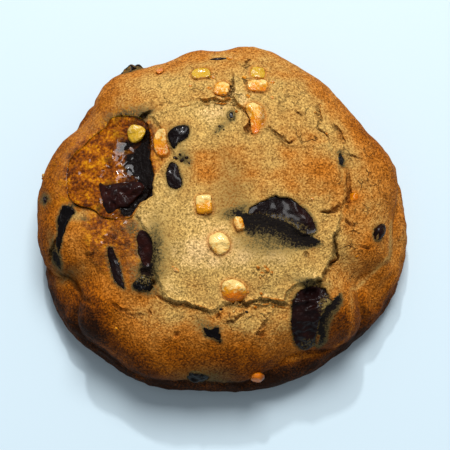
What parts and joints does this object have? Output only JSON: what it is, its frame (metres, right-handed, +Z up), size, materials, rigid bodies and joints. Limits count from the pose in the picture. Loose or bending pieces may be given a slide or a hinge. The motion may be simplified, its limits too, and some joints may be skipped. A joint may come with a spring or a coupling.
{
  "type": "chocolate orange cookie",
  "caption": "Thick domed chocolate orange cookie: cracked golden dough with dark chocolate chunks, candied orange pieces and a glossy caramel pool.",
  "frame": {"origin": "centre of the flat base, at the height of the surface it rests on", "axes": "+Z up through the dome, +X along the longest side, which is the picture's right, +Y to the picture's top"},
  "size_m": [0.0968, 0.0904, 0.0325],
  "materials": {
    "dough": "golden brown baked dough, sandy and matte",
    "chocolate": "dark chocolate, partly melted and glossy",
    "orange": "candied orange, translucent and sticky",
    "caramel": "set orange caramel, glossy"
  },
  "bodies": {
    "root": {"caramel_pool": "caramel", "chocolate_back_bit": "chocolate", "chocolate_back_rim": "chocolate", "chocolate_by_hook": "chocolate", "chocolate_centre": "chocolate", "chocolate_front_side": "chocolate", "chocolate_hook": "chocolate", "chocolate_in_caramel": "chocolate", "chocolate_left_edge": "chocolate", "chocolate_lower_right": "chocolate", "chocolate_right_chip": "chocolate", "chocolate_right_side": "chocolate", "chocolate_slot": "chocolate", "chocolate_slot_end": "chocolate", "chocolate_star": "chocolate", "chocolate_strip": "chocolate", "dough": "dough", "orange_back_large": "orange", "orange_back_left": "orange", "orange_back_row": "orange", "orange_back_yellow": "orange", "orange_cube": "orange", "orange_far_left": "orange", "orange_far_small": "orange", "orange_flap": "orange", "orange_front_side": "orange", "orange_in_caramel": "orange", "orange_lower": "orange", "orange_right_small": "orange", "orange_round": "orange", "orange_slab": "orange"}
  },
  "joints": []
}
